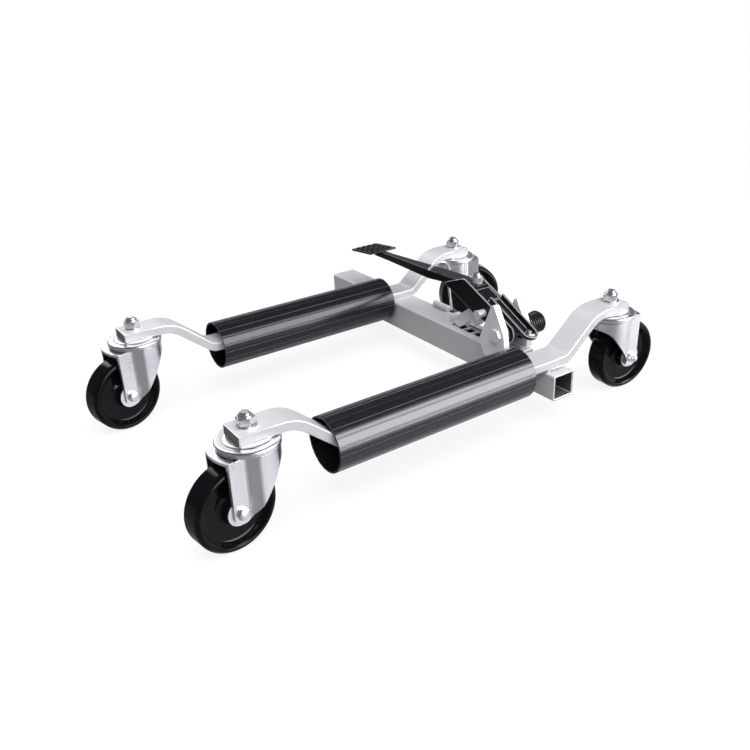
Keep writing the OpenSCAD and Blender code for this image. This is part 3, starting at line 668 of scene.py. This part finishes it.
class JACK_OT_hook(Step, bpy.types.Operator):
    """Bend the hold-down hook out of one round wire"""

    bl_idname = "jack.hook"
    bl_label = "Hold-down hook"

    def execute(self, context):
        details = context.scene.jack_details
        # Millimetres from where the wire leaves its barrel
        marks = [
            (-33.5, 0, 0),
            (-16, 0, 0),
            (0, 0, 0),
            (5, 0, 0.5),
            (7.5, -0.4, 6),
            (2, -1, 43),
            (3, -1.5, 66),
            (5, -9, 80),
            (5, -19.5, 84),
            (0, -29.5, 80),
            (-6, -35.5, 72),
        ]
        path = [HOOK_EXIT + point for point in smooth_path([mm(*mark) for mark in marks], 10)]
        radii = [details.hook_wire / 2] * len(path)
        wire = tube(path, radii, details.wire_sides, (0, 0, 1))
        made = piece("hold_down_hook_wire", *wire, "hook", "zinc", "wire")
        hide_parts("hold_down_hook")
        return {"FINISHED"}


class JACK_OT_welds(Step, bpy.types.Operator):
    """Lay weld beads between the bars, the tubes and the gusset plates"""

    bl_idname = "jack.welds"
    bl_label = "Weld beads"

    def execute(self, context):
        bead = context.scene.jack_details.bead_radius
        top, mid_y = TUBE_HIGH.z, (TUBE_LOW.y + TUBE_HIGH.y) / 2
        arm_welds = {
            side: [
                (Vector((edge.x, mid_y - reach, top)), Vector((edge.x, mid_y + reach, top)))
                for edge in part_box(f"{side}_arm_bar")
            ]
            for side, reach in ARM_WELD_REACH.items()
        }
        near_low, near_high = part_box("near_gusset_plate")
        far_low, far_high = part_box("far_gusset_plate")
        foot = near_low.z
        gusset_welds = [
            (
                Vector((near_low.x + WELD_INSET, TUBE_LOW.y, foot)),
                Vector((near_high.x - WELD_INSET, TUBE_LOW.y, foot)),
            ),
            (
                Vector((far_low.x + WELD_INSET, far_low.y, top)),
                Vector((far_high.x - WELD_INSET, far_low.y, top)),
            ),
        ]
        for name, welds, body in (
            ("far_arm_welds", arm_welds["far"], "frame"),
            ("gusset_welds", gusset_welds, "frame"),
            ("near_arm_welds", arm_welds["near"], "near_arm"),
        ):
            beads = [weld_bead(a, b, bead, k) for k, (a, b) in enumerate(welds)]
            piece(name, *joined(beads), body, "silver_steel", "weld")
        return {"FINISHED"}


class JACK_OT_threads(Step, bpy.types.Operator):
    """Cut threads on the ends of the studs and bolts that stand out of their nuts"""

    bl_idname = "jack.threads"
    bl_label = "Threads"

    def execute(self, context):
        pitch = context.scene.jack_details.thread_pitch
        stud_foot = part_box("near_swivel_studs")[1].z - STUD_TOP
        upwards = (0, 0, 1)
        for side, body in (("far", "frame"), ("near", "near_arm")):
            ends = []
            for swivel in SWIVELS[side]:
                start = Vector((swivel.x, swivel.y, stud_foot))
                ends.append(thread(start, upwards, STUD_RADIUS, STUD_THREAD, pitch))
            piece(f"{side}_stud_threads", *joined(ends), body, "zinc")
        low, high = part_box("pedal_bolt")
        nut_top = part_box("pedal_nut")[1].z
        foot = Vector(((low.x + high.x) / 2, (low.y + high.y) / 2, nut_top))
        length = high.z - nut_top - PEDAL_BOLT_TIP
        ridge = thread(foot, upwards, PEDAL_BOLT_RADIUS, length, pitch)
        piece("pedal_bolt_thread", *ridge, "pedal", "zinc")
        return {"FINISHED"}


class JACK_OT_stage(Step, bpy.types.Operator):
    """Set the white floor, the soft lamps and the camera"""

    bl_idname = "jack.stage"
    bl_label = "Stage"

    def execute(self, context):
        stage = context.scene.jack_stage
        self.floor(stage)
        self.world(context, stage)
        self.lamps(stage)
        self.camera(context, stage)
        context.scene.view_settings.view_transform = "Standard"
        return {"FINISHED"}

    def floor(self, stage):
        """A wide pale floor that the camera sees as white, with the jack's faint shadow."""
        sides, radius = 96, stage.floor_radius
        turns = [tau * k / sides for k in range(sides)]
        rim = [(radius * cos(turn), radius * sin(turn), 0) for turn in turns]
        mesh = bpy.data.meshes.new("floor")
        mesh.from_pydata(rim, [], [tuple(range(sides))])
        made = new_object("floor", mesh)
        material, s = new_shader("pale_floor")
        seen = s.add("ShaderNodeLightPath", out="Is Camera Ray")
        mirrored = s.add("ShaderNodeLightPath", out="Is Glossy Ray")
        clear = s.add("ShaderNodeBsdfTransparent")
        pale, white_paint = (*[stage.floor_colour] * 3, 1.0), (1.0, 1.0, 1.0, 1.0)
        plain = s.add("ShaderNodeBsdfDiffuse", {}, {"Color": pale})
        bright = s.add("ShaderNodeBsdfDiffuse", {}, {"Color": white_paint})
        glow = s.add("ShaderNodeEmission", {}, {"Color": white_paint, "Strength": 1.0})
        white = s.add("ShaderNodeMixShader", {}, {0: stage.shadow, 1: glow, 2: bright})
        share = mirrored * FLOOR_CLEARNESS
        unseen = s.add("ShaderNodeMixShader", {}, {0: share, 1: plain, 2: clear})
        mixed = s.add("ShaderNodeMixShader", {}, {0: seen, 1: unseen, 2: white})
        s.add("ShaderNodeOutputMaterial", {}, {"Surface": mixed})
        made.data.materials.append(material)

    def world(self, context, stage):
        """White to the camera, pale soft light, and a studio room that only reflections show."""
        world = bpy.data.worlds.new("studio")
        context.scene.world = world
        s = Shader(world)
        camera_ray = s.add("ShaderNodeLightPath", out="Is Camera Ray")
        glossy_ray = s.add("ShaderNodeLightPath", out="Is Glossy Ray")
        direction = s.add("ShaderNodeTexCoord", out="Generated")
        height = s.add("ShaderNodeSeparateXYZ", {}, {0: direction}, out="Z")
        depth = s.add("ShaderNodeSeparateXYZ", {}, {0: direction}, out="Y")

        def glow(strength, tint=(1.0, 1.0, 1.0)):
            return s.add("ShaderNodeBackground", {}, {"Color": (*tint, 1.0), "Strength": strength})

        def fade(value, start, end):
            settings = {"interpolation_type": "SMOOTHSTEP"}
            values = {0: value, 1: start, 2: end, 3: 0.0, 4: 1.0}
            return s.add("ShaderNodeMapRange", settings, values)

        def mix(factor, low, high):
            return s.add("ShaderNodeMixShader", {}, {0: factor, 1: low, 2: high})

        tint = tuple(stage.sky_tint)
        to_back = fade(depth, -0.35, 0.45)
        to_ceiling = fade(height, 0.1, 0.3)
        walls = mix(to_back, glow(stage.front, tint), glow(stage.backdrop, tint))
        room = mix(to_ceiling, walls, glow(stage.ceiling, tint))
        for towards, reach, edge, light in (
            (stage.window_towards, stage.window_reach, WINDOW_EDGE, stage.window_light),
            (stage.slit_towards, stage.slit_reach, SLIT_EDGE, stage.slit_light),
        ):
            middle = tuple(Vector(towards).normalized())
            values = {0: direction, 1: middle}
            near = s.add("ShaderNodeVectorMath", {"operation": "DOT_PRODUCT"}, values, out=1)
            rim = cos(reach)
            room = mix(fade(near, rim - edge, rim + edge), room, glow(light))
        unseen = mix(glossy_ray, glow(stage.world_light, tint), room)
        s.add("ShaderNodeOutputWorld", {}, {"Surface": mix(camera_ray, unseen, glow(1.0))})

    def lamps(self, stage):
        """One large soft box above the camera's right. Reflections see the room instead."""
        turn, rise = stage.key_turn, stage.key_rise
        towards = Vector((cos(turn) * cos(rise), sin(turn) * cos(rise), sin(rise)))
        lamp = bpy.data.lights.new("key", "AREA")
        lamp.size = LAMP_SIDE
        lamp.energy = stage.key_light * pi * lamp.size * lamp.size
        made = new_object("key", lamp)
        made.location = towards * LAMP_DISTANCE
        made.rotation_euler = towards.to_track_quat("Z", "Y").to_euler()
        made.visible_camera = False
        made.visible_glossy = False

    def camera(self, context, stage):
        """The photograph's camera, from its azimuth, elevation and roll."""
        lens = bpy.data.cameras.new("photo_camera")
        lens.lens = stage.lens
        lens.sensor_width = 36.0
        made = new_object("photo_camera", lens)
        azimuth, elevation, roll = stage.azimuth, stage.elevation, stage.roll
        out = cos(elevation)
        ahead = Vector((-sin(azimuth) * out, cos(azimuth) * out, -sin(elevation)))
        level = Vector((cos(azimuth), sin(azimuth), 0))
        upright = level.cross(ahead)
        right = cos(roll) * level + sin(roll) * upright
        up = -sin(roll) * level + cos(roll) * upright
        turn = Matrix((right, up, -ahead)).transposed().to_4x4()
        made.matrix_world = Matrix.Translation(stage.camera_place) @ turn
        context.scene.camera = made


STEPS = (
    JACK_OT_finishes,
    JACK_OT_edges,
    JACK_OT_spring,
    JACK_OT_hook,
    JACK_OT_welds,
    JACK_OT_threads,
    JACK_OT_stage,
)


# Settings and panel


class JackFinishes(bpy.types.PropertyGroup):
    """Colours of the jack's finishes"""

    silver: FloatVectorProperty(
        name="Silver coat",
        description="Colour of the bars and tubes",
        subtype="COLOR",
        default=(0.6, 0.605, 0.62),
        min=0,
        max=1,
    )
    zinc: FloatVectorProperty(
        name="Zinc",
        description="Colour of the forks, races, nuts and bolts",
        subtype="COLOR",
        default=(0.92, 0.93, 0.94),
        min=0,
        max=1,
    )
    black: FloatVectorProperty(
        name="Black coat",
        description="Colour of the pedal, the lever and the spring",
        subtype="COLOR",
        default=(0.009, 0.009, 0.011),
        min=0,
        max=1,
    )
    roller: FloatVectorProperty(
        name="Rollers",
        description="Colour of the rollers",
        subtype="COLOR",
        default=(0.0085, 0.0085, 0.011),
        min=0,
        max=1,
    )
    wheel: FloatVectorProperty(
        name="Wheels",
        description="Colour of the caster wheels",
        subtype="COLOR",
        default=(0.0032, 0.003, 0.004),
        min=0,
        max=1,
    )


class JackDetails(bpy.types.PropertyGroup):
    """Sizes of the details that are added to the CAD model"""

    bead_radius: FloatProperty(
        name="Weld bead",
        description="Radius of a weld bead",
        default=0.0024,
        min=0.0005,
        max=0.004,
        subtype="DISTANCE",
    )
    thread_pitch: FloatProperty(
        name="Thread pitch",
        description="Distance between two turns of a thread",
        default=0.0015,
        min=0.0008,
        max=0.002,
        precision=4,
        subtype="DISTANCE",
    )
    spring_wire: FloatProperty(
        name="Spring wire",
        description="Its diameter",
        default=0.0032,
        min=0.001,
        subtype="DISTANCE",
    )
    hook_wire: FloatProperty(
        name="Hook wire",
        description="Its diameter",
        default=0.00394,
        min=0.001,
        subtype="DISTANCE",
    )
    edge_share: FloatProperty(
        name="Soft edges",
        description="Share of the usual rounding",
        default=1.0,
        min=0.1,
        max=2.0,
    )
    wire_sides: IntProperty(
        name="Wire sides",
        description="Sides of the round wires",
        default=16,
        min=8,
        max=48,
    )


class JackStage(bpy.types.PropertyGroup):
    """Floor, lamps and camera"""

    floor_radius: FloatProperty(
        name="Floor",
        description="Radius of the floor",
        default=1.4,
        min=1.0,
        subtype="DISTANCE",
    )
    floor_colour: FloatProperty(
        name="Floor colour",
        description="How pale the floor is to the jack",
        default=0.35,
        min=0.0,
        max=1.0,
    )
    shadow: FloatProperty(
        name="Shadow",
        description="How dark the jack's shadow looks",
        default=0.13,
        min=0.0,
        max=1.0,
    )
    world_light: FloatProperty(
        name="World light",
        description="Strength of the soft light all round",
        default=0.17,
        min=0.0,
        max=2.0,
    )
    sky_tint: FloatVectorProperty(
        name="Sky tint",
        description="Colour of the light that no lamp gives",
        subtype="COLOR",
        default=(0.97, 0.96, 1.06),
        min=0,
        max=2,
    )
    backdrop: FloatProperty(
        name="Backdrop",
        description="How bright the back of the room is in reflections",
        default=0.82,
        min=0.0,
    )
    front: FloatProperty(
        name="Front",
        description="How bright the front of the room is in reflections",
        default=0.11,
        min=0.0,
    )
    ceiling: FloatProperty(
        name="Ceiling",
        description="How bright the ceiling is in reflections",
        default=0.12,
        min=0.0,
    )
    window_light: FloatProperty(
        name="Window",
        description="How bright the window is in reflections",
        default=9.5,
        min=0.0,
    )
    window_reach: FloatProperty(
        name="Window reach",
        description="Half the angle that it fills",
        default=radians(27),
        subtype="ANGLE",
    )
    window_towards: FloatVectorProperty(
        name="Window direction",
        description="Where it is",
        default=(0.81, 0.5, 0.3),
        subtype="XYZ",
    )
    slit_light: FloatProperty(
        name="Second window",
        description="How bright it is in reflections",
        default=3.6,
        min=0.0,
    )
    slit_reach: FloatProperty(
        name="Second window reach",
        description="Half the angle that it fills",
        default=radians(13),
        subtype="ANGLE",
    )
    slit_towards: FloatVectorProperty(
        name="Second window direction",
        description="Where it is",
        default=(-0.81, 0.06, 0.55),
        subtype="XYZ",
    )
    key_light: FloatProperty(
        name="Key",
        description="Brightness of the key's face",
        default=4.6,
        min=0.0,
    )
    key_turn: FloatProperty(
        name="Key turn",
        description="Its direction round the jack",
        default=radians(-11),
        subtype="ANGLE",
    )
    key_rise: FloatProperty(
        name="Key rise",
        description="Its height over the floor",
        default=radians(62),
        subtype="ANGLE",
    )
    lens: FloatProperty(
        name="Lens",
        description="Focal length in millimetres",
        default=38.53,
        min=10.0,
        max=200.0,
    )
    azimuth: FloatProperty(
        name="Azimuth",
        description="Camera's turn round the jack",
        default=radians(56.048),
        subtype="ANGLE",
    )
    elevation: FloatProperty(
        name="Elevation",
        description="Camera's angle above the floor",
        default=radians(25.889),
        subtype="ANGLE",
    )
    roll: FloatProperty(
        name="Roll",
        description="Camera's turn about its own axis",
        default=radians(-2.211),
        subtype="ANGLE",
    )
    camera_place: FloatVectorProperty(
        name="Camera place",
        description="Where the camera stands",
        subtype="TRANSLATION",
        default=(0.9458, -0.5960, 0.5614),
    )


class JACK_PT_panel(bpy.types.Panel):
    """The jack's steps, finishes and sizes"""

    bl_idname = "JACK_PT_panel"
    bl_label = "Vehicle positioning jack"
    bl_space_type = "VIEW_3D"
    bl_region_type = "UI"
    bl_category = "Jack"

    def draw(self, context):
        for group in GROUPS:
            settings = getattr(context.scene, GROUPS[group])
            box = self.layout.box()
            for name in group.__annotations__:
                box.prop(settings, name)
        for step in STEPS:
            self.layout.operator(step.bl_idname)


GROUPS = {JackFinishes: "jack_finishes", JackDetails: "jack_details", JackStage: "jack_stage"}


def register():
    """Adds the classes and the settings to Blender."""
    for each in (*GROUPS, *STEPS, JACK_PT_panel):
        bpy.utils.register_class(each)
    for group, name in GROUPS.items():
        setattr(bpy.types.Scene, name, PointerProperty(type=group))


def unregister():
    """Takes them out again."""
    for name in GROUPS.values():
        delattr(bpy.types.Scene, name)
    for each in reversed((*GROUPS, *STEPS, JACK_PT_panel)):
        bpy.utils.unregister_class(each)


def main():
    """Builds the looks step by step."""
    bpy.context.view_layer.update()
    register()
    for step in STEPS:
        group, name = step.bl_idname.split(".")
        getattr(getattr(bpy.ops, group), name)()


if __name__ == "__main__":
    main()
